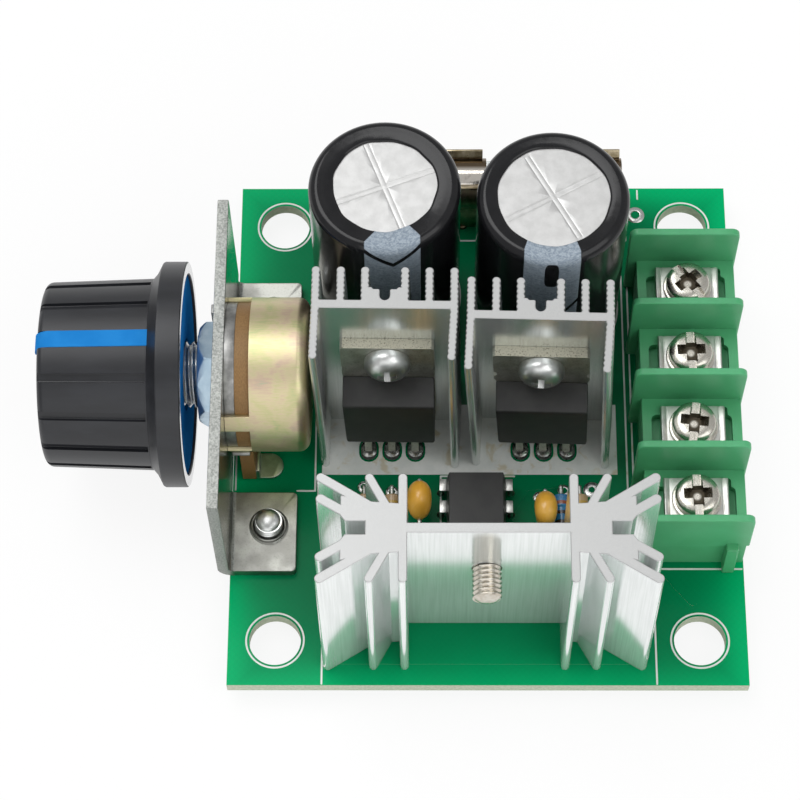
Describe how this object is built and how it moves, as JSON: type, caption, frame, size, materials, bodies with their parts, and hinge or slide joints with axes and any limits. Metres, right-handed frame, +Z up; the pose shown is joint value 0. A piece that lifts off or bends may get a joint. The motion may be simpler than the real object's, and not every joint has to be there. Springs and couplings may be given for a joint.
{
  "type": "motor speed controller board",
  "caption": "Circuit board with a potentiometer and knob on a bracket, smoothing capacitors, a fuse, finned heatsinks with power devices and a barrier terminal block.",
  "frame": {"origin": "centre of the rectangle of the four mounting holes, on the underside of the board", "axes": "+X from the knob's side to the terminal block's side, +Y from the front heatsink to the fuse, +Z up out of the component side"},
  "size_m": [0.0746, 0.06, 0.0285],
  "materials": {
    "bead_orange": "dipped coating",
    "board_mask": "gloss solder mask",
    "bracket_steel": "dull tinned sheet",
    "can_aluminium": "satin drawn",
    "chromate_can": "yellow chromated",
    "device_black": "moulded epoxy",
    "diode_red": "glass body",
    "fuse_glass": "clear glass",
    "fuse_nickel": "nickel plated",
    "heatsink_aluminium": "mill finish extrusion",
    "knob_black": "satin moulded",
    "knob_blue": "moulded",
    "phenolic": "paper phenolic laminate",
    "resistor_blue": "lacquered",
    "resistor_tan": "lacquered",
    "rotor_black": "moulded",
    "rubber": "matte",
    "screw_nickel": "nickel plated",
    "sleeve_black": "gloss shrink sleeve",
    "solder": "bright solder",
    "terminal_green": "satin moulded",
    "tinned": "tinned",
    "turned_steel": "turned, nickel plated",
    "zinc_nut": "blue zinc plated"
  },
  "bodies": {
    "board": {"circuit_board": "board_mask", "solder_joints": "solder", "pot_bracket": "bracket_steel", "bracket_screws": "screw_nickel", "pot_front_plate": "bracket_steel", "pot_bushing": "turned_steel", "pot_nut": "zinc_nut", "pot_wafer": "phenolic", "pot_can": "chromate_can", "pot_terminals": "tinned", "capacitor_left_can": "can_aluminium", "capacitor_left_sleeve": "sleeve_black", "capacitor_left_bung": "rubber", "capacitor_right_can": "can_aluminium", "capacitor_right_sleeve": "sleeve_black", "capacitor_right_bung": "rubber", "capacitor_leads": "tinned", "fuse_clips": "tinned", "fuse_glass": "fuse_glass", "fuse_caps": "fuse_nickel", "fuse_wire": "tinned", "heatsink_left": "heatsink_aluminium", "heatsink_right": "heatsink_aluminium", "heatsink_front": "heatsink_aluminium", "transistor_left_frame": "tinned", "transistor_left_body": "device_black", "transistor_right_frame": "tinned", "transistor_right_body": "device_black", "regulator_frame": "tinned", "regulator_body": "device_black", "transistor_screws": "screw_nickel", "regulator_screw": "screw_nickel", "timer_body": "device_black", "timer_pins": "tinned", "ceramic_capacitors": "bead_orange", "ceramic_leads": "tinned", "blue_resistor": "resistor_blue", "tan_resistors": "resistor_tan", "signal_diode": "diode_red", "resistor_leads": "tinned", "terminal_housing": "terminal_green", "terminal_contacts": "tinned"},
    "knob": {"pot_shaft": "turned_steel", "pot_rotor": "rotor_black", "knob_shell": "knob_black", "knob_core": "knob_blue"},
    "clamp_body_1": {"clamp_1": "tinned"},
    "screw_body_1": {"terminal_screw_1": "screw_nickel"},
    "clamp_body_2": {"clamp_2": "tinned"},
    "screw_body_2": {"terminal_screw_2": "screw_nickel"},
    "clamp_body_3": {"clamp_3": "tinned"},
    "screw_body_3": {"terminal_screw_3": "screw_nickel"},
    "clamp_body_4": {"clamp_4": "tinned"},
    "screw_body_4": {"terminal_screw_4": "screw_nickel"}
  },
  "joints": [
    {"name": "knob_turn", "type": "hinge", "parent": "board", "child": "knob", "pos_m": [-0.0355, 0.001, 0.0126], "axis": [1, 0, 0], "range_deg": [-150, 150]},
    {"name": "clamp_1_lift", "type": "slide", "parent": "board", "child": "clamp_body_1", "axis": [0, 0, 1], "range_m": [0, 0.0015]},
    {"name": "screw_1_turn", "type": "hinge", "parent": "clamp_body_1", "child": "screw_body_1", "pos_m": [0.02207, -0.01187, 0.0088], "axis": [0, 0, 1], "range_deg": [0, 900]},
    {"name": "clamp_2_lift", "type": "slide", "parent": "board", "child": "clamp_body_2", "axis": [0, 0, 1], "range_m": [0, 0.0015]},
    {"name": "screw_2_turn", "type": "hinge", "parent": "clamp_body_2", "child": "screw_body_2", "pos_m": [0.02207, -0.00345, 0.0088], "axis": [0, 0, 1], "range_deg": [0, 900]},
    {"name": "clamp_3_lift", "type": "slide", "parent": "board", "child": "clamp_body_3", "axis": [0, 0, 1], "range_m": [0, 0.0015]},
    {"name": "screw_3_turn", "type": "hinge", "parent": "clamp_body_3", "child": "screw_body_3", "pos_m": [0.02207, 0.00497, 0.0088], "axis": [0, 0, 1], "range_deg": [0, 900]},
    {"name": "clamp_4_lift", "type": "slide", "parent": "board", "child": "clamp_body_4", "axis": [0, 0, 1], "range_m": [0, 0.0015]},
    {"name": "screw_4_turn", "type": "hinge", "parent": "clamp_body_4", "child": "screw_body_4", "pos_m": [0.02207, 0.01339, 0.0088], "axis": [0, 0, 1], "range_deg": [0, 900]}
  ],
  "couplings": [
    {"joint": "screw_1_turn", "follows": "clamp_1_lift", "rad_per_m": 10470},
    {"joint": "screw_2_turn", "follows": "clamp_2_lift", "rad_per_m": 10470},
    {"joint": "screw_3_turn", "follows": "clamp_3_lift", "rad_per_m": 10470},
    {"joint": "screw_4_turn", "follows": "clamp_4_lift", "rad_per_m": 10470}
  ]
}
